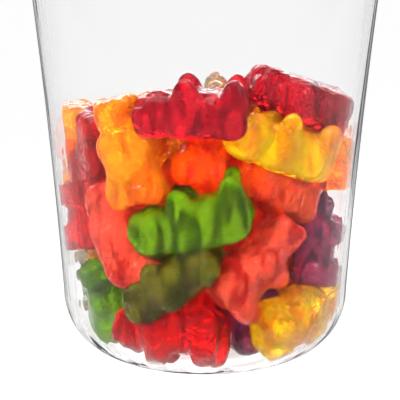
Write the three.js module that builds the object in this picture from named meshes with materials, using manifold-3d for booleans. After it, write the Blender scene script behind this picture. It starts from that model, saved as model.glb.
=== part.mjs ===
// A clear plastic cup about two thirds full of gummy bears.
// Millimetres, +Z up. The cup stands on z = 0 and its axis is the Z axis.
import * as THREE from 'three';
import { mergeVertices } from 'three/addons/utils/BufferGeometryUtils.js';
import Module from 'manifold-3d';

// Cup: one thin moulded wall that opens a little towards the mouth.
const cupHeight = 86;
const wallThickness = 0.9;
const cornerHeight = 12; // the rounded foot ends here
const cornerRadius = 28; // outer radius of the cup at that height
const cornerRound = 12; // outer radius of the rounded foot
const wallTaper = 0.065; // radius gained for each millimetre of height
const wallFlare = 0.0004; // and for each square millimetre
const rimRound = 1.2; // section radius of the rolled rim
const floorThickness = 0.8;
const footRingWidth = 2.6; // flat ring that the cup stands on
const footPushUp = 0.4; // how far the middle of the base is raised
const cupSides = 36;

// Bears: one mould, 22 mm from ears to feet, with a flat back.
const bearBack = 4.3; // from the middle of the body to the flat back
const backRounding = 2.2;
const spineLow = -8;
const spineHigh = 6.6;
const spineReach = 10; // a shell this far from the spine lies outside the bear
const bearSides = 12;
const bearCapRows = 2;
const bearBodyRows = 5;

// The soft lobes of the mould. The head is at +Z, the belly at -Y, and a paired lobe is on both sides.
// A lobe with a rounding is a box with that edge radius and radii as its half sizes, others are ellipsoids.
const bearLobes = [
  { at: [0, -0.2, -2.4], radii: [4.7, 4.6, 7.6], blend: 1.2, rounding: 3.2 }, // trunk
  { at: [0, -2.3, -3.4], radii: [4.0, 3.2, 4.4], blend: 1.4 }, // belly
  { at: [0, -0.1, 7.2], radii: [3.9, 4.5, 3.8], blend: 1.1, rounding: 2.9 }, // head
  { at: [0, -3.8, 6.5], radii: [2.0, 1.7, 1.6], tilt: 8, blend: 0.9 }, // snout
  { at: [2.9, -0.8, 9.8], radii: [1.5, 2.3, 1.4], blend: 0.8, paired: true }, // ears
  { at: [0, -1.7, 4.2], radii: [3.4, 3.2, 3.2], blend: 1.0 }, // chest
  { at: [3.2, -3.2, 0.8], radii: [2.1, 4.9, 2.8], tilt: -6, blend: 1.4, paired: true }, // arms
  { at: [3.2, -3.1, -8.1], radii: [2.4, 5.0, 2.7], tilt: 3, blend: 1.4, paired: true }, // legs
  { at: [3.5, 0.7, -7.2], radii: [2.3, 3.2, 3.4], blend: 1.2, paired: true }, // hips
  { at: [3.4, 0.5, 1.5], radii: [2.1, 3.2, 3.0], blend: 1.2, paired: true }, // shoulders
];

// Where each bear lies. around: degrees round the cup from the front, anticlockwise seen from above.
// out and up: its middle from the cup's axis and above the table. head: which way the head points,
// seen from outside, 0 to the right and 90 up. roll: 0 has the belly outwards and 180 the back.
// lean tips the head outwards, and facing is the side it is turned to where that isn't its own.
// A loose bear settles among the others, which keep close to their places.
const bears = [
  { around: -6, out: 25, up: 51.7, head: 180, roll: 90, size: 0.96 },
  { around: 37, out: 25, up: 44.6, head: 157, roll: 82, facing: 32 },
  { around: -33.5, out: 25, up: 44.6, head: 104, roll: 180, facing: -16, size: 0.97 },
  { around: -70, out: 22.5, up: 40.4, head: 80, roll: 165, lean: 8, facing: -50, size: 0.94 },
  { around: -80, out: 25.5, up: 32.1, head: 100, roll: -15, facing: -82, size: 0.92 },
  { around: -47, out: 22.5, up: 27.6, head: 106, roll: 120, lean: 10, size: 0.96 },
  { around: 4, out: 16, up: 45.6, head: 62, roll: 180, lean: -22, size: 0.95 },
  { around: -7, out: 25, up: 30, head: 194, roll: 90, size: 1.06 },
  { around: -15, out: 22.5, up: 20.1, head: 217, roll: 70, size: 0.97 },
  { around: 23.5, out: 23, up: 23.5, head: 45, roll: 112, size: 0.96 },
  { around: -21, out: 19, up: 8.7, head: 185, roll: -76 },
  { around: 57, out: 23.5, up: 9.1, head: 14, roll: 25, facing: 42 },
  { around: 70, out: 22, up: 25.1, head: 90, roll: 30, facing: 62, size: 0.93 },
  { around: 44, out: 20, up: 36.4, head: 157, roll: 180, size: 0.92 },
  { around: 54, out: 22.5, up: 53.7, head: 159, roll: -90, facing: 20, size: 0.93 },
  { around: 86, out: 27, up: 40.6, head: 4, roll: 175, facing: 85, size: 0.93 },
  { around: -79, out: 21, up: 9.6, head: 68, roll: 180, lean: 16, facing: -64, size: 0.87 },
  { around: 62, out: 13, up: 17.6, head: 95, roll: 90, facing: 25, size: 0.9 },
  { around: 36, out: 14, up: 31.6, head: 95, roll: 0, size: 0.95 },
  { around: 173, out: 14, up: 43.1, head: 8, roll: 90, facing: 0, size: 0.95 },
  { around: 29, out: 13.5, up: 12.6, head: 95, roll: 90, size: 0.93 },
  { around: -98, out: 19, up: 23.1, head: 95, roll: 90, size: 0.9 },
  { around: -96, out: 25.2, up: 38.3, head: 85, roll: 180, size: 0.9 },
  { around: -59, out: 15.9, up: 45, head: -5, roll: 180, facing: -60, size: 0.93 },
  { around: -109, out: 15.3, up: 10.6, head: 0, roll: 0, facing: -15, size: 0.9 },
  { around: 90, out: 19.5, up: 11.1, head: 75, roll: 90, lean: 18, size: 0.97, loose: true },
  { around: 122, out: 19, up: 11.1, head: 108, roll: 0, lean: 18, loose: true },
  { around: 152, out: 19, up: 10.6, head: 75, roll: 180, lean: 20, size: 0.97, loose: true },
  { around: 188, out: 19.5, up: 10.6, head: 98, roll: -70, lean: 20 },
  { around: 221, out: 19, up: 10.1, head: 84, roll: 160, lean: 20, size: 0.97, loose: true },
  { around: 107, out: 20, up: 28.1, head: 94, roll: 180, size: 0.93 },
  { around: 134, out: 23.5, up: 30.1, head: 70, roll: 90, loose: true },
  { around: 158, out: 23.5, up: 31.1, head: 95, roll: 200, size: 0.97, loose: true },
  { around: 185, out: 23.5, up: 28.1, head: 118, roll: 180, loose: true },
  { around: 209, out: 23.5, up: 28.1, head: 72, roll: 30 },
  { around: 230, out: 21.5, up: 28.1, head: 97, roll: 100, loose: true },
  { around: 140, out: 24, up: 40.6, head: 12, roll: 90 },
  { around: 189, out: 24.5, up: 37.6, head: 178, roll: 90, size: 0.97 },
  { around: 238, out: 23.5, up: 39.1, head: 5, roll: 180, size: 0.95 },
  { around: 0, out: 2, up: 8.1, head: 30, roll: 0, loose: true },
  { around: 100, out: 8, up: 23.1, head: 70, roll: 0, loose: true },
  { around: 220, out: 8, up: 23.1, head: 110, roll: 90, loose: true },
  { around: 105, out: 12, up: 43.1, head: 172, roll: 90, facing: 60 },
  { around: 225, out: 11.5, up: 42.1, head: 6, roll: -90, facing: 120 },
  { around: -38, out: 7.4, up: 45.9, head: 195, roll: 90, facing: 0, size: 0.95 },
  { around: -75, out: 13, up: 36.1, head: 140, roll: 60, loose: true },
  { around: 68, out: 13, up: 43.1, head: 120, roll: 180, lean: -20, loose: true },
];

// Settling: each bear is stood for by balls, which may sink a little into each other.
const trunkBall = 3.3;
const armBall = 2.1;
const legBall = 2.5;
const softness = 0.4; // how far two balls may sink into each other
const settleRounds = 60;
const settleShare = 0.35; // share of an overlap that one round clears
const wallShare = 0.6;
const homeShare = 0.35; // share of its way back that a held bear takes in one round
const heldWeight = 0.3;
const dropStep = 0.1; // a loose bear sinks this far a round
const dropRounds = 42;
const nearby = 27; // bears further apart than this can't touch

// Heap: the bears fused on a plain core that fills the hollows between the hidden ones.
const cupGap = 0.45; // between the bears and the cup
const heapFloor = 1.5; // underside of the lowest bear
const coreDepth = 5.5; // from the cup's inside to the core
const coreTop = 37;
const coreShoulder = 10; // the core narrows by this much over its top
const coreSides = 20;
const showingReach = 15; // a bear further out than this shows through the wall
const showingHeight = 34; // and one higher than this shows from above

const degrees = THREE.MathUtils.degToRad;

function outerRadius(z) {
  const above = z - cornerHeight;
  return cornerRadius + wallTaper * above + wallFlare * above * above;
}

// Radius of the cup's inside at a height, down through its rounded foot.
function innerRadius(z) {
  if (z >= cornerHeight) return outerRadius(z) - wallThickness;
  const round = cornerRound - wallThickness;
  const middle = cornerRadius - cornerRound;
  const drop = Math.min(cornerHeight - z, round);
  return middle + Math.sqrt(round * round - drop * drop);
}

// Points on an arc of the profile, angles in degrees from the +X direction.
function arcPoints(centreX, centreY, radius, from, to, steps) {
  return Array.from({ length: steps + 1 }, (_, i) => {
    const angle = degrees(from + ((to - from) * i) / steps);
    return new THREE.Vector2(centreX + radius * Math.cos(angle), centreY + radius * Math.sin(angle));
  });
}

// A turned solid with its axis on +Z, from a profile that starts and ends on the axis.
function turned(profile, sides) {
  const geometry = new THREE.LatheGeometry(profile, sides);
  geometry.rotateX(Math.PI / 2);
  return geometry;
}

function cupGeometry() {
  const middle = cornerRadius - cornerRound;
  const rimCentre = cupHeight - rimRound;
  const rimRadius = innerRadius(rimCentre) + rimRound;
  const wallHeights = [30, 56];
  const ringInside = middle - footRingWidth;
  const profile = [
    new THREE.Vector2(0, footPushUp),
    new THREE.Vector2(ringInside - footPushUp, footPushUp),
    new THREE.Vector2(ringInside, 0),
    ...arcPoints(middle, cornerRound, cornerRound, -90, 0, 5),
    ...wallHeights.map((z) => new THREE.Vector2(outerRadius(z), z)),
    ...arcPoints(rimRadius, rimCentre, rimRound, -105, 180, 6),
    ...wallHeights.toReversed().map((z) => new THREE.Vector2(innerRadius(z), z)),
    ...arcPoints(middle, cornerRound, cornerRound - wallThickness, 0, -84, 5),
    new THREE.Vector2(ringInside, floorThickness + footPushUp),
    new THREE.Vector2(0, floorThickness + footPushUp),
  ];
  return turned(profile, cupSides);
}

// Near its surface this is the distance to the lobe.
function lobeDistance({ at, radii, tilt = 0, rounding = 0, paired = false }, point) {
  const local = point.clone();
  if (paired) local.x = Math.abs(local.x);
  local.sub(new THREE.Vector3(...at));
  local.applyAxisAngle(new THREE.Vector3(1, 0, 0), -degrees(tilt));
  const reach = new THREE.Vector3(...radii);
  if (rounding > 0) {
    local.set(Math.abs(local.x), Math.abs(local.y), Math.abs(local.z)).sub(reach).addScalar(rounding);
    const inside = Math.min(Math.max(local.x, local.y, local.z), 0);
    return local.max(new THREE.Vector3()).length() + inside - rounding;
  }
  const scaled = local.divide(reach);
  const length = scaled.length();
  return (length * (length - 1)) / Math.max(scaled.divide(reach).length(), 1e-9);
}

// The smaller of two distances, with the crease between them filled.
function blended(first, second, width) {
  const share = THREE.MathUtils.clamp(0.5 + (0.5 * (second - first)) / width, 0, 1);
  return second * (1 - share) + first * share - width * share * (1 - share);
}

function bearDistance(point) {
  let distance = lobeDistance(bearLobes[0], point);
  for (const lobe of bearLobes.slice(1)) {
    distance = blended(distance, lobeDistance(lobe, point), lobe.blend);
  }
  return -blended(-distance, bearBack - point.y, backRounding);
}

// A capsule round the spine, with each of its points moved in to the bear's surface.
function bearGeometry() {
  const capsule = new THREE.CapsuleGeometry(
    spineReach, spineHigh - spineLow, bearCapRows, bearSides, bearBodyRows);
  capsule.rotateX(Math.PI / 2);
  capsule.translate(0, 0, (spineHigh + spineLow) / 2);
  const places = capsule.attributes.position;
  const point = new THREE.Vector3();
  for (let i = 0; i < places.count; i += 1) {
    point.fromBufferAttribute(places, i);
    const spine = new THREE.Vector3(0, 0, THREE.MathUtils.clamp(point.z, spineLow, spineHigh));
    const inwards = spine.clone().sub(point).normalize();
    for (let step = 0; step < 60; step += 1) {
      point.addScaledVector(inwards, 0.9 * Math.max(bearDistance(point), 0));
    }
    places.setXYZ(i, point.x, point.y, point.z);
  }
  return capsule;
}

// The balls that stand for one bear while it settles, in the bear's own frame.
function bearBalls() {
  const balls = [];
  for (const side of [-1, 1]) {
    for (const z of [-7.3, -3.6, 0.2, 4, 7.8]) {
      balls.push({ at: new THREE.Vector3(side * 2, -0.2, z), radius: trunkBall });
    }
    balls.push({ at: new THREE.Vector3(side * 3.2, -4.3, 1), radius: armBall });
    balls.push({ at: new THREE.Vector3(side * 3.2, -4.1, -7.7), radius: legBall });
  }
  return balls;
}

// A bear's turn: round its own length, leaning, heading, then round the cup.
function bearTurn({ around, head, roll, lean = 0, facing = around }) {
  return new THREE.Matrix4()
    .makeRotationZ(degrees(facing))
    .multiply(new THREE.Matrix4().makeRotationY(degrees(90 - head)))
    .multiply(new THREE.Matrix4().makeRotationX(degrees(lean)))
    .multiply(new THREE.Matrix4().makeRotationZ(degrees(roll)));
}

function placedBear(bear) {
  const { around, out, up, size = 1, loose = false } = bear;
  const place = new THREE.Vector3(
    out * Math.sin(degrees(around)), -out * Math.cos(degrees(around)), up);
  const turn = bearTurn(bear).scale(new THREE.Vector3(size, size, size));
  const balls = bearBalls().map(({ at, radius }) => ({
    at: at.clone().applyMatrix4(turn),
    radius: radius * size,
  }));
  return { place, home: place.clone(), turn, balls, weight: loose ? 1 : heldWeight, loose };
}

// How far two bears have to part, along the line between their deepest balls.
function overlap(one, other) {
  let deepest = 0;
  const push = new THREE.Vector3();
  for (const a of one.balls) {
    for (const b of other.balls) {
      const line = a.at.clone().add(one.place).sub(b.at).sub(other.place);
      const depth = a.radius + b.radius - softness - line.length();
      if (depth > deepest) {
        deepest = depth;
        push.copy(line.normalize().multiplyScalar(depth));
      }
    }
  }
  return push;
}

// The push that brings a ball back inside the cup.
function wallPush(centre, radius) {
  const push = new THREE.Vector3();
  const reach = Math.hypot(centre.x, centre.y);
  const outwards = new THREE.Vector3(centre.x, centre.y, 0).normalize();
  const middle = cornerRadius - cornerRound;
  if (centre.z >= cornerHeight) {
    const depth = reach + radius - innerRadius(centre.z);
    return depth > 0 ? outwards.multiplyScalar(-depth) : push;
  }
  if (reach > middle) {
    const across = reach - middle;
    const down = centre.z - cornerHeight;
    const length = Math.hypot(across, down);
    const depth = length + radius - (cornerRound - wallThickness);
    if (depth <= 0) return push;
    return outwards.multiplyScalar((-depth * across) / length).setZ((-depth * down) / length);
  }
  return push.setZ(Math.max(heapFloor - centre.z + radius, 0));
}

function deepestWallPush(bear) {
  let deepest = new THREE.Vector3();
  for (const ball of bear.balls) {
    const push = wallPush(ball.at.clone().add(bear.place), ball.radius);
    if (push.length() > deepest.length()) deepest = push;
  }
  return deepest;
}

function settleRound(heap, round) {
  const pushes = heap.map(() => new THREE.Vector3());
  heap.forEach((one, i) => {
    heap.slice(i + 1).forEach((other, k) => {
      if (one.place.distanceTo(other.place) > nearby) return;
      const push = overlap(one, other);
      const both = one.weight + other.weight;
      pushes[i].addScaledVector(push, one.weight / both);
      pushes[i + 1 + k].addScaledVector(push, -other.weight / both);
    });
  });
  heap.forEach((bear, i) => {
    bear.place.addScaledVector(pushes[i], settleShare);
    if (bear.loose && round < dropRounds) bear.place.z -= dropStep;
    if (!bear.loose) bear.place.lerp(bear.home, homeShare);
    bear.place.addScaledVector(deepestWallPush(bear), wallShare);
  });
}

function settledHeap() {
  const heap = bears.map(placedBear);
  for (let round = 0; round < settleRounds; round += 1) settleRound(heap, round);
  return heap;
}

// Flattens what would reach into the cup's wall or floor.
function pressed(geometry) {
  const places = geometry.attributes.position;
  for (let i = 0; i < places.count; i += 1) {
    const z = Math.max(places.getZ(i), heapFloor);
    const reach = Math.hypot(places.getX(i), places.getY(i));
    const share = Math.min((innerRadius(z) - cupGap) / reach, 1);
    places.setXYZ(i, places.getX(i) * share, places.getY(i) * share, z);
  }
  return geometry;
}

function coreGeometry() {
  const shoulder = coreTop - coreShoulder;
  const profile = [
    new THREE.Vector2(0, heapFloor + coreDepth),
    new THREE.Vector2(innerRadius(heapFloor + coreDepth) - coreDepth, heapFloor + coreDepth),
    new THREE.Vector2(innerRadius(cornerHeight) - coreDepth, cornerHeight),
    new THREE.Vector2(innerRadius(shoulder) - coreDepth, shoulder),
    new THREE.Vector2(innerRadius(coreTop) - coreDepth - coreShoulder, coreTop),
    new THREE.Vector2(0, coreTop),
  ];
  return turned(profile, coreSides);
}

const wasm = await Module();
wasm.setup();

// A closed solid that can be joined and cut, from a closed geometry.
function solidOf(geometry) {
  const bare = geometry.clone();
  bare.deleteAttribute('normal');
  bare.deleteAttribute('uv');
  const merged = mergeVertices(bare, 1e-4);
  return new wasm.Manifold(new wasm.Mesh({
    numProp: 3,
    vertProperties: new Float32Array(merged.attributes.position.array),
    triVerts: new Uint32Array(merged.index.array),
  }));
}

function geometryOf(solid) {
  const { vertProperties, triVerts } = solid.getMesh();
  const geometry = new THREE.BufferGeometry();
  geometry.setAttribute('position', new THREE.BufferAttribute(vertProperties, 3));
  geometry.setIndex(new THREE.BufferAttribute(triVerts, 1));
  return geometry;
}

// Fusing leaves sealed hollows and loose scraps. The largest body alone has neither.
function largestBody(solid) {
  return solid.decompose().reduce((best, body) => (body.volume() > best.volume() ? body : best));
}

function shows({ place }) {
  return Math.hypot(place.x, place.y) > showingReach || place.z > showingHeight;
}

function heapGeometry() {
  const bear = bearGeometry();
  let heap = solidOf(coreGeometry());
  for (const { place, turn } of settledHeap().filter(shows)) {
    const placed = bear.clone().applyMatrix4(turn);
    placed.translate(place.x, place.y, place.z);
    heap = heap.add(solidOf(pressed(placed)));
  }
  return geometryOf(largestBody(heap));
}

function piece(name, geometry, colour, roughness) {
  const material = new THREE.MeshStandardMaterial({ color: colour, roughness, metalness: 0 });
  const mesh = new THREE.Mesh(geometry, material);
  mesh.name = name;
  return mesh;
}

const cupOfBears = new THREE.Group();
const cup = piece('cup', cupGeometry(), 0xf2f5f6, 0.08);
cup.material.transparent = true;
cup.material.opacity = 0.25;
cupOfBears.add(cup, piece('gummy_bears', heapGeometry(), 0xe0341c, 0.3));

export default cupOfBears;
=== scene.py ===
import math
import bmesh
import bpy
import numpy as np
from mathutils import Matrix, Vector


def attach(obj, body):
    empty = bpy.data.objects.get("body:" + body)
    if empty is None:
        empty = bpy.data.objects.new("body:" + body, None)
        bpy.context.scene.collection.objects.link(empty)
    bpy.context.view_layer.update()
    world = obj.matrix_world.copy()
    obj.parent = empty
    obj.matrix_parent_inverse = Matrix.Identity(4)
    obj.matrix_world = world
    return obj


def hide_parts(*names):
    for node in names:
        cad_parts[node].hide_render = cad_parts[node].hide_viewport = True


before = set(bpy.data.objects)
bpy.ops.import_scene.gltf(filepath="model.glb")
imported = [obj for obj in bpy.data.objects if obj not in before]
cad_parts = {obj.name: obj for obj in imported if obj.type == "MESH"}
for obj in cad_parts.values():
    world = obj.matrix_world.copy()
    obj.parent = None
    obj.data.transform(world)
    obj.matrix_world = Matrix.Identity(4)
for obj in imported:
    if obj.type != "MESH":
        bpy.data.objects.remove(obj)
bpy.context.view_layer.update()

mm = 0.001  # shapes are worked out in millimetres and made in metres
scene = bpy.context.scene


# Helpers for colours, nodes and meshes.

def linearColour(code):  # sRGB hex to linear
    parts = [int(code[i:i + 2], 16) / 255 for i in (0, 2, 4)]
    return tuple(p / 12.92 if p <= 0.04045 else ((p + 0.055) / 1.055) ** 2.4 for p in parts) + (1.0,)


def addNode(tree, kind, settings=None, links=None):  # one node, its settings, and values or links by socket
    node = tree.nodes.new(kind)
    for name, value in (settings or {}).items():
        setattr(node, name, value)
    for socket, value in (links or {}).items():
        if isinstance(value, bpy.types.NodeSocket):
            tree.links.new(value, node.inputs[socket])
        else:
            node.inputs[socket].default_value = value
    return node


def perMetre(size):  # a texture's scale for features of that many mm
    return 1 / (size * mm)


def newMaterial(name):  # an empty node material with its output
    material = bpy.data.materials.new(name)
    material.use_nodes = True
    material.node_tree.nodes.clear()
    return material, material.node_tree, material.node_tree.nodes.new("ShaderNodeOutputMaterial")


def newObject(name, mesh):
    obj = bpy.data.objects.new(name, mesh)
    scene.collection.objects.link(obj)
    return obj


def meshPoints(mesh):
    flat = np.empty(len(mesh.vertices) * 3)
    mesh.vertices.foreach_get("co", flat)
    return flat.reshape(-1, 3)


def setMeshPoints(mesh, points):
    mesh.vertices.foreach_set("co", points.astype(np.float32).ravel())
    mesh.update()


def evaluatedMesh(obj):  # the modifiers' result as a plain mesh
    graph = bpy.context.evaluated_depsgraph_get()
    return bpy.data.meshes.new_from_object(obj.evaluated_get(graph))


# The cup: one turned solid of clear plastic.

cupSet = {
    "height": 86.0, "wall": 0.9, "floor": 0.8,
    "cornerHeight": 12.0, "cornerRadius": 28.0, "cornerRound": 12.0,
    "taper": 0.065, "flare": 0.0004,  # radius gained over the height and its square
    "rimRound": 1.2, "rimBack": 0.03,  # the rim's own radius, and how far it keeps inside the plain solid's
    "footRing": 2.6, "pushUp": 0.4,
    "baseStep": [(2.0, 1.0), (1.3, 0.9), (0.7, 0.3)],  # in from the ring and up, in push-ups
    "ringEdge": [(-0.2, 0.03), (0.1, 0.0)],  # out over the ring's inner edge and up
    "floorFall": 0.02,  # lost from the middle of the floor to its edge
    "sides": 224, "arcSteps": 22, "rimSteps": 14, "wallSteps": 40,
}


def outerRadius(z):
    above = np.asarray(z, dtype=float) - cupSet["cornerHeight"]
    return cupSet["cornerRadius"] + cupSet["taper"] * above + cupSet["flare"] * above * above


def innerRadius(z):  # down through the rounded foot
    z = np.asarray(z, dtype=float)
    corner = cupSet["cornerRound"] - cupSet["wall"]
    middle = cupSet["cornerRadius"] - cupSet["cornerRound"]
    drop = np.clip(cupSet["cornerHeight"] - z, 0, corner)
    foot = middle + np.sqrt(corner * corner - drop * drop)
    return np.where(z >= cupSet["cornerHeight"], outerRadius(z) - cupSet["wall"], foot)


def arcPoints(centre, radius, start, end, steps):
    angles = np.radians(np.linspace(start, end, steps + 1))
    return [(centre[0] + radius * math.cos(a), centre[1] + radius * math.sin(a)) for a in angles]


def cupProfile():  # from the axis under the base, out, up and over the rim, and back inside
    s = cupSet
    middle = s["cornerRadius"] - s["cornerRound"]
    ring = middle - s["footRing"]
    floorTop = s["floor"] + s["pushUp"]
    rimHeight = s["height"] - s["rimRound"] - s["rimBack"]
    rimRadius = float(innerRadius(rimHeight)) + s["rimRound"] - s["rimBack"]
    heights = np.linspace(s["cornerHeight"], rimHeight - s["rimRound"], s["wallSteps"] + 1)[1:-1]
    profile = [(0, s["pushUp"]), (ring / 2, s["pushUp"])]
    profile += [(ring - across * s["pushUp"], up * s["pushUp"]) for across, up in s["baseStep"]]
    profile += [(ring + across, up) for across, up in s["ringEdge"]]
    profile += arcPoints((middle, s["cornerRound"]), s["cornerRound"], -90, 0, s["arcSteps"])
    profile += [(float(outerRadius(z)), z) for z in heights]
    profile += arcPoints((rimRadius, rimHeight), s["rimRound"], -100, 180, s["rimSteps"])
    profile += [(float(innerRadius(z)), z) for z in heights[::-1]]
    profile += arcPoints((middle, s["cornerRound"]), s["cornerRound"] - s["wall"], 0, -84, s["arcSteps"])
    profile += [(ring, floorTop - s["floorFall"]), (ring / 2, floorTop), (0, floorTop)]
    return profile


def turnedMesh(name, profile, sides):  # a closed solid of revolution, outside faces out
    points, faces, rings = [], [], []
    for radius, z in profile:
        if radius == 0:
            rings.append([len(points)] * sides)
            points.append((0, 0, z * mm))
            continue
        rings.append(list(range(len(points), len(points) + sides)))
        for k in range(sides):
            angle = 2 * math.pi * k / sides
            points.append((radius * mm * math.cos(angle), radius * mm * math.sin(angle), z * mm))
    for low, high in zip(rings, rings[1:]):
        for k in range(sides):
            n = (k + 1) % sides
            corners = [low[k], low[n], high[n], high[k]]
            faces.append(list(dict.fromkeys(corners)))  # a triangle where a ring is a point on the axis
    mesh = bpy.data.meshes.new(name)
    mesh.from_pydata(points, [], faces)
    mesh.shade_smooth()
    return mesh


def clearPlasticMaterial():
    # Polystyrene, injection moulded: glass clear, with faint upright flow lines that streak what is seen
    # through it.
    material, tree, output = newMaterial("clearPolystyrene")
    place = addNode(tree, "ShaderNodeTexCoord")
    stretch = addNode(tree, "ShaderNodeMapping", {"vector_type": "POINT"},
                      {"Vector": place.outputs["Object"], "Scale": (1, 1, 0.02)})
    flow = addNode(tree, "ShaderNodeTexNoise", {"noise_dimensions": "3D"},
                   {"Vector": stretch.outputs[0], "Scale": perMetre(6.25), "Detail": 2})
    relief = addNode(tree, "ShaderNodeBump", None,
                     {"Height": flow.outputs[0], "Strength": 0.6, "Distance": 0.3 * mm})
    shader = addNode(tree, "ShaderNodeBsdfPrincipled", None, {
        "Base Color": linearColour("FEFEFE"), "Roughness": 0.0, "IOR": 1.42,
        "Transmission Weight": 1.0, "Specular Tint": (0.15, 0.15, 0.15, 1), "Normal": relief.outputs[0]})
    depth = addNode(tree, "ShaderNodeVolumeAbsorption", None,
                    {"Color": linearColour("8C9294"), "Density": 30.0})
    tree.links.new(shader.outputs[0], output.inputs["Surface"])
    tree.links.new(depth.outputs[0], output.inputs["Volume"])
    return material


cupPiece = newObject("moulded_cup", turnedMesh("moulded_cup", cupProfile(), cupSet["sides"]))
cupPiece.data.materials.append(clearPlasticMaterial())
cupPiece.visible_shadow = False  # thin and clear, so the lamps shine in through it
print("cup made:", len(cupPiece.data.polygons), "faces")


# One bear of the mould, in its own frame: head +Z, belly -Y.

bearSet = {
    "back": 4.3, "backRounding": 2.2,  # from the middle of the body to the flat back
    "voxel": 0.38,  # grid of the moulded skin
    "skins": 2, "pulls": 8,  # times that it is skinned, and steps that bring each skin onto the lobes
    "reach": 0.35,  # furthest that one step may move a point
    # at, radii, tilt, blend, rounding where it is a box, and whether it is on both sides
    "lobes": [
        ((0, -0.2, -2.4), (4.7, 4.6, 7.6), 0, 1.2, 3.2, False),  # trunk
        ((0, -2.3, -3.4), (4.0, 3.2, 4.4), 0, 1.4, 0, False),  # belly
        ((0, -0.1, 7.2), (3.9, 4.5, 3.8), 0, 1.1, 2.9, False),  # head
        ((0, -3.8, 6.5), (2.0, 1.7, 1.6), 8, 0.9, 0, False),  # snout
        ((2.9, -0.8, 9.8), (1.5, 2.3, 1.4), 0, 0.8, 0, True),  # ears
        ((0, -1.7, 4.2), (3.4, 3.2, 3.2), 0, 1.0, 0, False),  # chest
        ((3.2, -3.2, 0.8), (2.1, 4.9, 2.8), -6, 1.4, 0, True),  # arms
        ((3.2, -3.1, -8.1), (2.4, 5.0, 2.7), 3, 1.4, 0, True),  # legs
        ((3.5, 0.7, -7.2), (2.3, 3.2, 3.4), 0, 1.2, 0, True),  # hips
        ((3.4, 0.5, 1.5), (2.1, 3.2, 3.0), 0, 1.2, 0, True),  # shoulders
    ],
    # small hollows of the mould: at, radius, rounding
    "dents": [
        ((1.4, -4.75, 8.1), 0.75, 0.5),  # eyes
        ((2.9, -3.4, 10.0), 0.9, 0.8),  # ears
    ],
}


def blended(first, second, width):  # the smaller distance, with the crease filled
    share = np.clip(0.5 + 0.5 * (second - first) / width, 0, 1)
    return second * (1 - share) + first * share - width * share * (1 - share)


def lobeDistance(points, at, radii, tilt, rounding, paired):
    x = np.abs(points[:, 0]) if paired else points[:, 0]
    y, z = points[:, 1] - at[1], points[:, 2] - at[2]
    c, s = math.cos(math.radians(tilt)), math.sin(math.radians(tilt))
    local = np.stack([x - at[0], c * y + s * z, c * z - s * y], axis=1)
    if rounding:
        past = np.abs(local) - radii + rounding
        return np.linalg.norm(np.maximum(past, 0), axis=1) + np.minimum(past.max(axis=1), 0) - rounding
    scaled = local / radii
    length = np.linalg.norm(scaled, axis=1)
    return length * (length - 1) / np.maximum(np.linalg.norm(scaled / radii, axis=1), 1e-9)


def bearDistance(points, dents=True):
    distance = None
    for at, radii, tilt, blend, rounding, paired in bearSet["lobes"]:
        lobe = lobeDistance(points, at, np.array(radii), tilt, rounding, paired)
        distance = lobe if distance is None else blended(distance, lobe, blend)
    distance = -blended(-distance, bearSet["back"] - points[:, 1], bearSet["backRounding"])
    if dents:
        mirrored = np.abs(points[:, 0])
        for at, radius, rounding in bearSet["dents"]:
            gap = np.sqrt((mirrored - at[0]) ** 2 + (points[:, 1] - at[1]) ** 2 + (points[:, 2] - at[2]) ** 2)
            distance = -blended(-distance, gap - radius, rounding)
    return distance


def slope(points, field, step=0.02):  # gradient of a distance field
    axes = np.eye(3) * step
    return np.stack([field(points + a) - field(points - a) for a in axes], axis=1) / (2 * step)


def ontoSurface(points, field, rounds):
    for _ in range(rounds):
        distance = np.clip(field(points), -bearSet["reach"], bearSet["reach"])
        rise = slope(points, field)
        points = points - distance[:, None] * rise / np.maximum((rise ** 2).sum(axis=1), 0.25)[:, None]
    return points


def skinned(mesh, voxel):  # one closed even skin over the lobes
    obj = newObject("mould", mesh)
    remesh = obj.modifiers.new("skin", "REMESH")
    remesh.mode = "VOXEL"
    remesh.voxel_size = voxel
    remesh.use_smooth_shade = True
    even = obj.modifiers.new("even", "SMOOTH")
    even.factor = 0.5
    even.iterations = 4
    result = evaluatedMesh(obj)
    bpy.data.objects.remove(obj)
    return result


def bearMesh():
    form = bmesh.new()
    for at, radii, tilt, _, _, paired in bearSet["lobes"]:
        for side in ((1, -1) if paired else (1,)):
            place = Matrix.Translation((at[0] * side, at[1], at[2]))
            place = place @ Matrix.Rotation(math.radians(tilt), 4, "X") @ Matrix.Diagonal((*radii, 1))
            bmesh.ops.create_icosphere(form, subdivisions=4, radius=1, matrix=place)
    mesh = bpy.data.meshes.new("lobes")
    form.to_mesh(mesh)
    form.free()
    for _ in range(bearSet["skins"]):
        mesh = skinned(mesh, bearSet["voxel"])
        setMeshPoints(mesh, ontoSurface(meshPoints(mesh), bearDistance, bearSet["pulls"]))
    mesh.name = "bear"
    return mesh


mouldMesh = bearMesh()
print("bear moulded:", len(mouldMesh.polygons), "faces,",
      round(float(np.abs(bearDistance(meshPoints(mouldMesh))).max()), 3), "mm off at most")


# Where the bears lie in the cup.

heapSet = {
    "rounds": 60, "softness": 0.4,  # steps of settling, and the overlap of two balls that is let be
    "share": 0.35, "wallShare": 0.6, "homeShare": 0.35,  # of each push, that one step takes up
    "heldWeight": 0.3,  # of a held bear's move against a loose one's
    "dropStep": 0.1, "dropRounds": 42,  # a loose bear sinks this far in each of so many steps
    "nearby": 27.0, "floor": 1.5,  # bears further apart never meet, and the lowest that a bear lies
    # balls that stand for a bear while it settles: heights up the spine, then place and radius of the limbs'
    "spineAt": (2, -0.2), "spineBalls": [-7.3, -3.6, 0.2, 4.0, 7.8], "trunkBall": 3.3,
    "armBall": ((3.2, -4.3, 1.0), 2.1), "legBall": ((3.2, -4.1, -7.7), 2.5),
}

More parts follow.
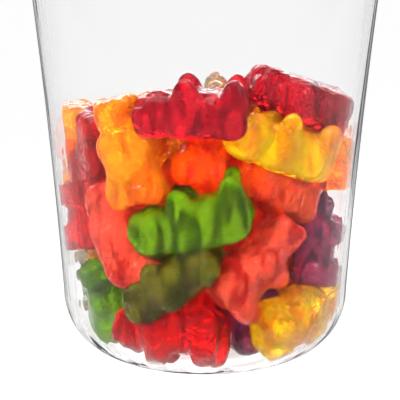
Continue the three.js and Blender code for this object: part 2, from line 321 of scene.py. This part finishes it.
# Each bear's flavour; its place as degrees round from the front, out from the axis and up; the angle of its
# head, anticlockwise from the right, and its roll; then size, lean, facing and loose where they matter.
bears = [
    dict(kind="crimson", around=-6, out=25, up=51.7, head=180, roll=90, size=0.96),
    dict(kind="yellow", around=37, out=25, up=44.6, head=157, roll=82, facing=32),
    dict(kind="amber", around=-33.5, out=25, up=44.6, head=104, roll=180, facing=-16, size=0.97),
    dict(kind="red", around=-70, out=22.5, up=40.4, head=80, roll=165, lean=8, facing=-50, size=0.94),
    dict(kind="red", around=-80, out=25.5, up=32.1, head=100, roll=-15, facing=-82, size=0.92),
    dict(kind="coral", around=-47, out=22.5, up=27.6, head=106, roll=120, lean=10, size=0.96),
    dict(kind="orange", around=4, out=16, up=45.6, head=62, roll=180, lean=-22, size=0.95),
    dict(kind="green", around=-7, out=25, up=30, head=194, roll=90, size=1.06),
    dict(kind="darkgreen", around=-15, out=22.5, up=20.1, head=217, roll=70, size=0.97),
    dict(kind="coral", around=23.5, out=23, up=23.5, head=45, roll=112, size=0.96),
    dict(kind="red", around=-21, out=19, up=8.7, head=185, roll=-76),
    dict(kind="yellow", around=57, out=23.5, up=9.1, head=14, roll=25, facing=42),
    dict(kind="purple", around=70, out=22, up=25.1, head=90, roll=30, facing=62, size=0.93),
    dict(kind="orange", around=44, out=20, up=36.4, head=157, roll=180, size=0.92),
    dict(kind="crimson", around=54, out=22.5, up=53.7, head=159, roll=-90, facing=20, size=0.93),
    dict(kind="amber", around=86, out=27, up=40.6, head=4, roll=175, facing=85, size=0.93),
    dict(kind="green", around=-79, out=21, up=9.6, head=68, roll=180, lean=16, facing=-64, size=0.87),
    dict(kind="yellow", around=62, out=13, up=17.6, head=95, roll=90, facing=25, size=0.9),
    dict(kind="orange", around=36, out=14, up=31.6, head=95, roll=0, size=0.95),
    dict(kind="yellow", around=173, out=14, up=43.1, head=8, roll=90, facing=0, size=0.95),
    dict(kind="purple", around=29, out=13.5, up=12.6, head=95, roll=90, size=0.93),
    dict(kind="amber", around=-98, out=19, up=23.1, head=95, roll=90, size=0.9),
    dict(kind="amber", around=-96, out=25.2, up=38.3, head=85, roll=180, size=0.9),
    dict(kind="amber", around=-59, out=15.9, up=45, head=-5, roll=180, facing=-60, size=0.93),
    dict(kind="clear", around=-109, out=15.3, up=10.6, head=0, roll=0, facing=-15, size=0.9),
    dict(kind="red", around=90, out=19.5, up=11.1, head=75, roll=90, lean=18, size=0.97, loose=True),
    dict(kind="orange", around=122, out=19, up=11.1, head=108, roll=0, lean=18, loose=True),
    dict(kind="green", around=152, out=19, up=10.6, head=75, roll=180, lean=20, size=0.97, loose=True),
    dict(kind="amber", around=188, out=19.5, up=10.6, head=98, roll=-70, lean=20),
    dict(kind="crimson", around=221, out=19, up=10.1, head=84, roll=160, lean=20, size=0.97, loose=True),
    dict(kind="green", around=107, out=20, up=28.1, head=94, roll=180, size=0.93),
    dict(kind="orange", around=134, out=23.5, up=30.1, head=70, roll=90, loose=True),
    dict(kind="red", around=158, out=23.5, up=31.1, head=95, roll=200, size=0.97, loose=True),
    dict(kind="purple", around=185, out=23.5, up=28.1, head=118, roll=180, loose=True),
    dict(kind="yellow", around=209, out=23.5, up=28.1, head=72, roll=30),
    dict(kind="clear", around=230, out=21.5, up=28.1, head=97, roll=100, loose=True),
    dict(kind="amber", around=140, out=24, up=40.6, head=12, roll=90),
    dict(kind="red", around=189, out=24.5, up=37.6, head=178, roll=90, size=0.97),
    dict(kind="orange", around=238, out=23.5, up=39.1, head=5, roll=180, size=0.95),
    dict(kind="red", around=0, out=2, up=8.1, head=30, roll=0, loose=True),
    dict(kind="orange", around=100, out=8, up=23.1, head=70, roll=0, loose=True),
    dict(kind="amber", around=220, out=8, up=23.1, head=110, roll=90, loose=True),
    dict(kind="green", around=105, out=12, up=43.1, head=172, roll=90, facing=60),
    dict(kind="amber", around=225, out=11.5, up=42.1, head=6, roll=-90, facing=120),
    dict(kind="clear", around=-38, out=7.4, up=45.9, head=195, roll=90, facing=0, size=0.95),
    dict(kind="orange", around=-75, out=13, up=36.1, head=140, roll=60, loose=True),
    dict(kind="amber", around=68, out=13, up=43.1, head=120, roll=180, lean=-20, loose=True),
]


def turnAbout(axis, degrees):  # 0 is X, 1 is Y and 2 is Z
    c, s = math.cos(math.radians(degrees)), math.sin(math.radians(degrees))
    matrix = np.eye(3)
    i, k = (axis + 1) % 3, (axis + 2) % 3
    matrix[i, i] = matrix[k, k] = c
    matrix[i, k], matrix[k, i] = -s, s
    return matrix


def placedBear(bear):
    around = math.radians(bear["around"])
    turn = (turnAbout(2, bear.get("facing", bear["around"])) @ turnAbout(1, 90 - bear["head"])
            @ turnAbout(0, bear.get("lean", 0)) @ turnAbout(2, bear["roll"]))
    size = bear.get("size", 1.0)
    s = heapSet
    across, back = s["spineAt"]
    balls = [((side * across, back, z), s["trunkBall"]) for side in (-1, 1) for z in s["spineBalls"]]
    balls += [((side * at[0], at[1], at[2]), radius)
              for side in (-1, 1) for at, radius in (s["armBall"], s["legBall"])]
    place = np.array([bear["out"] * math.sin(around), -bear["out"] * math.cos(around), float(bear["up"])])
    return {
        "kind": bear["kind"], "place": place, "home": place.copy(), "turn": turn, "size": size,
        "loose": bear.get("loose", False), "weight": 1.0 if bear.get("loose") else s["heldWeight"],
        "balls": np.array([at for at, _ in balls]) @ turn.T * size,
        "radii": np.array([radius for _, radius in balls]) * size,
    }


def overlapPush(one, other):  # how far two bears have to part
    line = (one["balls"] + one["place"])[:, None] - (other["balls"] + other["place"])[None]
    length = np.linalg.norm(line, axis=2)
    depth = one["radii"][:, None] + other["radii"][None] - heapSet["softness"] - length
    i, k = np.unravel_index(np.argmax(depth), depth.shape)
    if depth[i, k] <= 0:
        return np.zeros(3)
    return line[i, k] / length[i, k] * depth[i, k]


def wallPush(centre, radius):  # brings a ball back inside the cup
    reach = math.hypot(centre[0], centre[1])
    outwards = np.array([centre[0], centre[1], 0]) / max(reach, 1e-9)
    middle = cupSet["cornerRadius"] - cupSet["cornerRound"]
    if centre[2] >= cupSet["cornerHeight"]:
        return -outwards * max(reach + radius - float(innerRadius(centre[2])), 0)
    if reach > middle:
        across, down = reach - middle, centre[2] - cupSet["cornerHeight"]
        length = math.hypot(across, down)
        depth = max(length + radius - (cupSet["cornerRound"] - cupSet["wall"]), 0)
        push = -outwards * depth * across / length
        push[2] = -depth * down / length
        return push
    return np.array([0, 0, max(heapSet["floor"] - centre[2] + radius, 0)])


def settledHeap():  # eases the bears apart against their held places, so close neighbours keep some overlap
    heap = [placedBear(bear) for bear in bears]
    for turn in range(heapSet["rounds"]):
        pushes = np.zeros((len(heap), 3))
        for i, one in enumerate(heap):
            for k in range(i + 1, len(heap)):
                other = heap[k]
                if np.linalg.norm(one["place"] - other["place"]) > heapSet["nearby"]:
                    continue
                push = overlapPush(one, other)
                both = one["weight"] + other["weight"]
                pushes[i] += push * one["weight"] / both
                pushes[k] -= push * other["weight"] / both
        for bear, push in zip(heap, pushes):
            bear["place"] = bear["place"] + push * heapSet["share"]
            if not bear["loose"]:
                bear["place"] = bear["place"] + (bear["home"] - bear["place"]) * heapSet["homeShare"]
            elif turn < heapSet["dropRounds"]:
                bear["place"][2] -= heapSet["dropStep"]
            walls = [wallPush(at + bear["place"], r) for at, r in zip(bear["balls"], bear["radii"])]
            deepest = max(walls, key=np.linalg.norm)
            bear["place"] = bear["place"] + deepest * heapSet["wallShare"]
    return heap


heap = settledHeap()
print("heap settled:", len(heap), "bears")


# The bears, one piece for each flavour.

gumSet = {
    "seed": 7,
    "bend": 0.7, "bendMost": 1.2, "twist": 5.0, "bendOver": 10,  # mm of bow and degrees of twist over 10 mm
    "bowMiddle": 0.3,  # keeps a bowed bear's middle in place
    "lumpHeight": 0.16, "lumpSize": 5.0,
    "touch": 0.06, "press": 0.14,  # gap between two bears, and how softly a pressed spot ends
    "pressReach": 4, "bearReach": 14,  # widths of press round a spot, and from a bear's middle to its end
    "wallGap": 0.12, "floorGap": 0.1,
}

randomBears = np.random.default_rng(gumSet["seed"])
for bear in heap:
    bear["bend"] = randomBears.normal(0, gumSet["bend"], 2).clip(-gumSet["bendMost"], gumSet["bendMost"])
    bear["twist"] = math.radians(randomBears.normal(0, gumSet["twist"]))


def bent(points, bear, back=False):  # bows and twists a bear in its own frame, or undoes it
    along = points[:, 2] / gumSet["bendOver"]
    angle = bear["twist"] * along * (-1 if back else 1)
    c, s = np.cos(angle), np.sin(angle)
    bow = bear["bend"][None] * (along ** 2 - gumSet["bowMiddle"])[:, None]
    flat = points[:, :2] - bow if back else points[:, :2]
    turned = np.stack([c * flat[:, 0] - s * flat[:, 1], s * flat[:, 0] + c * flat[:, 1]], axis=1)
    return np.column_stack([turned if back else turned + bow, points[:, 2]])


def inBear(points, bear):
    return (points - bear["place"]) @ bear["turn"] / bear["size"]


def distanceTo(points, bear):
    return bearDistance(bent(inBear(points, bear), bear, back=True), dents=False) * bear["size"]


def softly(depth):  # no push outside, and the whole depth well inside
    width = gumSet["press"]
    return width * np.logaddexp(0, depth / width)


def pressedApart(points, bear):  # where two bears meet lightly, each gives half way to a shared flat
    moved = points.copy()
    edge = -gumSet["pressReach"] * gumSet["press"]
    for other in heap:
        if other is bear or np.linalg.norm(other["place"] - bear["place"]) > heapSet["nearby"]:
            continue
        near = np.linalg.norm(points - other["place"], axis=1) < gumSet["bearReach"]
        if not near.any():
            continue
        depth = gumSet["touch"] - distanceTo(points[near], other)
        close = np.flatnonzero(near)[depth > edge]
        depth = depth[depth > edge]
        rise = slope(points[close], lambda at: distanceTo(at, other))
        rise /= np.maximum(np.linalg.norm(rise, axis=1), 1e-6)[:, None]
        moved[close] += rise * 0.5 * softly(depth)[:, None]
    return moved


def pressedToCup(points):  # square to the wall, and to the foot's curve below it
    base = cupSet["floor"] + cupSet["pushUp"] + gumSet["floorGap"]
    z = base + softly(points[:, 2] - base)
    reach = np.maximum(np.linalg.norm(points[:, :2], axis=1), 1e-6)
    middle = cupSet["cornerRadius"] - cupSet["cornerRound"]
    across, down = np.maximum(reach - middle, 0), z - cupSet["cornerHeight"]
    length = np.maximum(np.hypot(across, down), 1e-6)
    past = softly(length - (cupSet["cornerRound"] - cupSet["wall"] - gumSet["wallGap"])) / length
    inCorner = (down < 0) & (reach > middle)
    moved = np.where(inCorner, across * past, softly(reach - innerRadius(z) + gumSet["wallGap"]))
    moved = np.where(reach > middle, moved, 0)
    z = np.where(inCorner, z - down * past, z)
    return np.column_stack([points[:, :2] * (1 - moved / reach)[:, None], z])


def gumTree():  # bears on points, uneven, realized, with their gum
    tree = bpy.data.node_groups.new("gumBears", "GeometryNodeTree")
    for name, kind in (("Geometry", "NodeSocketGeometry"), ("Bear", "NodeSocketObject"),
                       ("Gum", "NodeSocketMaterial"), ("Lump Height", "NodeSocketFloat"),
                       ("Lump Size", "NodeSocketFloat"), ("Seed", "NodeSocketFloat")):
        tree.interface.new_socket(name, in_out="INPUT", socket_type=kind)
    tree.interface.new_socket("Geometry", in_out="OUTPUT", socket_type="NodeSocketGeometry")
    source = addNode(tree, "NodeGroupInput")
    bear = addNode(tree, "GeometryNodeObjectInfo", {"transform_space": "ORIGINAL"},
                   {"Object": source.outputs["Bear"]})
    turn = addNode(tree, "GeometryNodeInputNamedAttribute", {"data_type": "FLOAT_VECTOR"}, {"Name": "turn"})
    size = addNode(tree, "GeometryNodeInputNamedAttribute", {"data_type": "FLOAT"}, {"Name": "size"})
    copies = addNode(tree, "GeometryNodeInstanceOnPoints", None, {
        "Points": source.outputs["Geometry"], "Instance": bear.outputs["Geometry"],
        "Rotation": turn.outputs["Attribute"], "Scale": size.outputs["Attribute"]})
    solid = addNode(tree, "GeometryNodeRealizeInstances", None, {"Geometry": copies.outputs[0]})
    place = addNode(tree, "GeometryNodeInputPosition")
    pitch = addNode(tree, "ShaderNodeMath", {"operation": "DIVIDE"}, {0: 1.0, 1: source.outputs["Lump Size"]})
    lumps = addNode(tree, "ShaderNodeTexNoise", {"noise_dimensions": "4D"}, {
        "Vector": place.outputs[0], "W": source.outputs["Seed"], "Scale": pitch.outputs[0], "Detail": 1.0})
    centred = addNode(tree, "ShaderNodeMath", {"operation": "SUBTRACT"}, {0: lumps.outputs[0], 1: 0.5})
    height = addNode(tree, "ShaderNodeMath", {"operation": "MULTIPLY"},
                     {0: centred.outputs[0], 1: source.outputs["Lump Height"]})
    normal = addNode(tree, "GeometryNodeInputNormal")
    offset = addNode(tree, "ShaderNodeVectorMath", {"operation": "SCALE"},
                     {0: normal.outputs[0], "Scale": height.outputs[0]})
    uneven = addNode(tree, "GeometryNodeSetPosition", None,
                     {"Geometry": solid.outputs[0], "Offset": offset.outputs[0]})
    coated = addNode(tree, "GeometryNodeSetMaterial", None,
                     {"Geometry": uneven.outputs[0], "Material": source.outputs["Gum"]})
    addNode(tree, "NodeGroupOutput", None, {"Geometry": coated.outputs[0]})
    return tree


def gumMaterial(name, look):
    # Gelatine and glucose gum, cast in starch and oiled: soft, clear to the middle, with a thin gloss,
    # painted shade in darker upright streaks that stand for those that the cup's wall lays over it, painted
    # shade at its grazing edges, and small bubbles.
    material, tree, output = newMaterial(name)
    place = addNode(tree, "ShaderNodeTexCoord").outputs["Object"]
    drawn = addNode(tree, "ShaderNodeMapping", {"vector_type": "POINT"},
                    {"Vector": place, "Scale": (1, 1, 0.3)})
    # painted shade: darker upright streaks, stretched up the cup, that stand for the streaks the cup's wall
    # lays over the gum
    streakShadeNoise = addNode(tree, "ShaderNodeTexNoise", None,
                     {"Vector": drawn.outputs[0], "Scale": perMetre(3.1), "Detail": 3, "Distortion": 0.8})
    streakShadeMask = addNode(tree, "ShaderNodeMapRange", {"interpolation_type": "SMOOTHSTEP"},
                      {"Value": streakShadeNoise.outputs[0], "From Min": 0.44, "From Max": 0.6,
                       "To Min": 0.0, "To Max": 1.0})
    # the surface colour with the painted shade streaks mixed in
    streakShaded = addNode(tree, "ShaderNodeMix", {"data_type": "RGBA"},
                     {"Factor": streakShadeMask.outputs[0], 6: linearColour(look["surface"]),
                      7: linearColour(look["streakShade"])})
    cells = addNode(tree, "ShaderNodeTexVoronoi", None, {"Vector": place, "Scale": perMetre(4.3)})
    bubble = addNode(tree, "ShaderNodeMapRange", {"interpolation_type": "SMOOTHSTEP"},
                     {"Value": cells.outputs["Distance"], "From Min": 0.06, "From Max": 0.13,
                      "To Min": 1.0, "To Max": 0.0})
    # painted shade at the grazing edges: where the surface is seen edge on, the base colour turns to a darker
    # colour
    edge = addNode(tree, "ShaderNodeLayerWeight", None, {"Blend": 0.3})
    thin = addNode(tree, "ShaderNodeMix", {"data_type": "RGBA"},
                   {"Factor": edge.outputs["Facing"], 6: streakShaded.outputs[2], 7: linearColour(look["thin"])})
    wrinkles = addNode(tree, "ShaderNodeTexNoise", None,
                       {"Vector": place, "Scale": perMetre(2.5), "Detail": 1, "Distortion": 1.5})
    dimples = addNode(tree, "ShaderNodeTexNoise", None,
                      {"Vector": place, "Scale": perMetre(1.1), "Detail": 2})
    soft = addNode(tree, "ShaderNodeBump", None,
                   {"Height": wrinkles.outputs[0], "Strength": 0.6, "Distance": 1.0 * mm})
    fine = addNode(tree, "ShaderNodeBump", None, {
        "Height": dimples.outputs[0], "Strength": 0.15, "Distance": 0.2 * mm, "Normal": soft.outputs[0]})
    relief = addNode(tree, "ShaderNodeBump", None, {
        "Height": bubble.outputs[0], "Strength": 0.8, "Distance": 0.3 * mm, "Normal": fine.outputs[0]})
    shader = addNode(tree, "ShaderNodeBsdfPrincipled", None, {
        "Base Color": thin.outputs[2], "Roughness": 0.03, "IOR": 1.4, "Specular Tint": (0.42, 0.42, 0.42, 1),
        "Transmission Weight": look["clear"], "Subsurface Weight": 0.4, "Subsurface Radius": look["radius"],
        "Subsurface Scale": 4.0 * mm, "Normal": relief.outputs[0]})
    depth = addNode(tree, "ShaderNodeVolumeAbsorption", None,
                    {"Color": linearColour(look["deep"]), "Density": look["density"]})
    tree.links.new(shader.outputs[0], output.inputs["Surface"])
    tree.links.new(depth.outputs[0], output.inputs["Volume"])
    return material


# Each gum's colours: at its surface, in its painted shade streaks that stand for the cup wall's, in the
# painted shade at its grazing edges and in its depth. Then how far red, green and blue light spreads under
# its skin, how clear it is, and how strongly its depth colours light.
flavours = {
    "red": {"surface": "EC1014", "streakShade": "A80410", "thin": "A00410", "deep": "E42028",
            "radius": (1.0, 0.15, 0.15), "clear": 0.9, "density": 80.0},
    "coral": {"surface": "FF6444", "streakShade": "B81C10", "thin": "C82818", "deep": "F45840",
              "radius": (1.0, 0.3, 0.25), "clear": 0.86, "density": 64.0},
    "crimson": {"surface": "E41C34", "streakShade": "980C20", "thin": "8C0C20", "deep": "BC2040",
                "radius": (0.9, 0.12, 0.2), "clear": 0.9, "density": 144.0},
    "orange": {"surface": "FF5C00", "streakShade": "D82400", "thin": "E03800", "deep": "FF7010",
               "radius": (1.0, 0.4, 0.1), "clear": 0.84, "density": 48.0},
    "amber": {"surface": "FFB810", "streakShade": "E07000", "thin": "E08000", "deep": "FFB020",
              "radius": (1.0, 0.7, 0.2), "clear": 0.88, "density": 48.0},
    "yellow": {"surface": "FFE000", "streakShade": "ECA000", "thin": "F4B800", "deep": "FFDC20",
               "radius": (1.0, 0.85, 0.15), "clear": 0.87, "density": 48.0},
    "green": {"surface": "88BC00", "streakShade": "486800", "thin": "508400", "deep": "80B41C",
              "radius": (0.6, 1.0, 0.15), "clear": 0.88, "density": 80.0},
    "darkgreen": {"surface": "A0A020", "streakShade": "505808", "thin": "585C08", "deep": "609434",
                  "radius": (0.4, 0.9, 0.3), "clear": 0.93, "density": 96.0},
    "purple": {"surface": "D04078", "streakShade": "701C48", "thin": "802050", "deep": "803464",
               "radius": (0.7, 0.25, 0.6), "clear": 0.88, "density": 96.0},
    "clear": {"surface": "F8F2DC", "streakShade": "E0D0A8", "thin": "E8DCC0", "deep": "F8F0D4",
              "radius": (1.0, 0.95, 0.8), "clear": 0.94, "density": 32.0},
}


def flavourPiece(kind):
    members = [bear for bear in heap if bear["kind"] == kind]
    points = bpy.data.meshes.new("places")
    points.from_pydata([tuple(bear["place"]) for bear in members], [], [])
    points.attributes.new("turn", "FLOAT_VECTOR", "POINT")
    points.attributes.new("size", "FLOAT", "POINT")
    for i, bear in enumerate(members):
        points.attributes["turn"].data[i].vector = Matrix(bear["turn"].tolist()).to_euler("XYZ")
        points.attributes["size"].data[i].value = bear["size"]
    obj = newObject("gum_" + kind, points)
    modifier = obj.modifiers.new("bears", "NODES")
    modifier.node_group = gumNodes
    values = {"Bear": mould, "Gum": gumMaterial("gelatineGum_" + kind, flavours[kind]),
              "Lump Height": gumSet["lumpHeight"] * 2, "Lump Size": gumSet["lumpSize"],  # half up, half down
              "Seed": float(gumSet["seed"])}
    for item in gumNodes.interface.items_tree:
        if item.in_out == "INPUT" and item.name in values:
            modifier[item.identifier] = values[item.name]
    mesh = evaluatedMesh(obj)
    mesh.name = obj.name
    obj.modifiers.remove(modifier)
    obj.data = mesh
    cast = meshPoints(mesh).reshape(len(members), -1, 3)
    for i, bear in enumerate(members):
        shaped = bent(inBear(cast[i], bear), bear) * bear["size"] @ bear["turn"].T + bear["place"]
        cast[i] = pressedToCup(pressedApart(shaped, bear))
    setMeshPoints(mesh, cast.reshape(-1, 3) * mm)
    mesh.shade_smooth()
    return obj


mould = newObject("mouldBear", mouldMesh)
gumNodes = gumTree()
gumPieces = {kind: flavourPiece(kind) for kind in flavours}
bpy.data.objects.remove(mould)
print("bears cast:", sum(len(piece.data.polygons) for piece in gumPieces.values()), "faces")


# What each piece stands for in the frame, then the stage, its light and the camera.

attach(cupPiece, "root")
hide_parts("cup")
for kind, piece in gumPieces.items():
    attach(piece, "root")
    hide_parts("gummy_bears")

stageSet = {
    "floorSize": 4.0, "world": 0.3,
    "lights": [  # name, place in metres, width, height and watts, aimed at the heap
        ("backLight", (0.0, 0.75, 0.42), 1.2, 0.6, 4.0),
        ("backGlow", (0.0, 0.5, 0.35), 0.8, 0.5, 4.0),
        ("topLight", (0.0, -0.1, 0.7), 0.5, 0.5, 5.5),
        ("keyLight", (-0.45, -0.5, 0.35), 0.08, 0.08, 16.0),
        ("fillLight", (0.5, -0.45, 0.25), 0.1, 0.25, 6.5),
    ],
    "aim": (0.0, 0.0, 0.033),
}


def floorMaterial():
    # Matt white laminate: an even pale surface without gloss, whose glow stands in for studio light on it.
    material, tree, output = newMaterial("whiteLaminate")
    shader = addNode(tree, "ShaderNodeBsdfPrincipled", None,
                     {"Base Color": linearColour("C8C8C8"), "Roughness": 0.9, "Specular IOR Level": 0.1,
                      "Emission Color": linearColour("FFFFFF"), "Emission Strength": 0.81})
    tree.links.new(shader.outputs[0], output.inputs["Surface"])
    return material


def makeStage():
    half = stageSet["floorSize"] / 2
    mesh = bpy.data.meshes.new("floor")
    corners = [(-half, -half, 0), (half, -half, 0), (half, half, 0), (-half, half, 0)]
    mesh.from_pydata(corners, [], [(0, 1, 2, 3)])
    floor = newObject("floor", mesh)
    mesh.materials.append(floorMaterial())
    floor.visible_glossy = False  # so that its mirror image lays no white veil over the colours
    world = bpy.data.worlds.new("studio")
    scene.world = world
    world.use_nodes = True
    world.node_tree.nodes["Background"].inputs["Color"].default_value = (1, 1, 1, 1)
    world.node_tree.nodes["Background"].inputs["Strength"].default_value = stageSet["world"]
    subject = bpy.data.collections.new("subject")
    for piece in [cupPiece, *gumPieces.values()]:
        subject.objects.link(piece)
    for name, place, width, height, watts in stageSet["lights"]:
        light = bpy.data.lights.new(name, "AREA")
        light.shape = "RECTANGLE"
        light.size, light.size_y, light.energy = width, height, watts
        obj = bpy.data.objects.new(name, light)
        scene.collection.objects.link(obj)
        obj.location = place
        obj.rotation_euler = (Vector(stageSet["aim"]) - Vector(place)).to_track_quat("-Z", "Y").to_euler()
        obj.light_linking.receiver_collection = subject  # the floor stays evenly pale


cameraSet = {  # degrees, metres, and the lens and sensor in mm
    "elevation": 14.5, "distance": 0.4, "target": (-0.001, 0.0, 0.03), "lens": 182.6, "sensor": 36.0,
}


def makeCamera():
    rise = math.radians(cameraSet["elevation"])
    away = Vector((0, -math.cos(rise), math.sin(rise)))
    data = bpy.data.cameras.new("camera")
    data.lens, data.sensor_width = cameraSet["lens"], cameraSet["sensor"]
    data.clip_start, data.clip_end = 0.01, 20
    obj = bpy.data.objects.new("camera", data)
    scene.collection.objects.link(obj)
    obj.location = Vector(cameraSet["target"]) + away * cameraSet["distance"]
    obj.rotation_euler = (-away).to_track_quat("-Z", "Y").to_euler()
    scene.camera = obj


makeStage()
makeCamera()
scene.view_settings.view_transform = "Standard"
scene.cycles.use_denoising = True
scene.cycles.max_bounces = 24
scene.cycles.transmission_bounces = 24
scene.cycles.diffuse_bounces = 6
print("stage set")
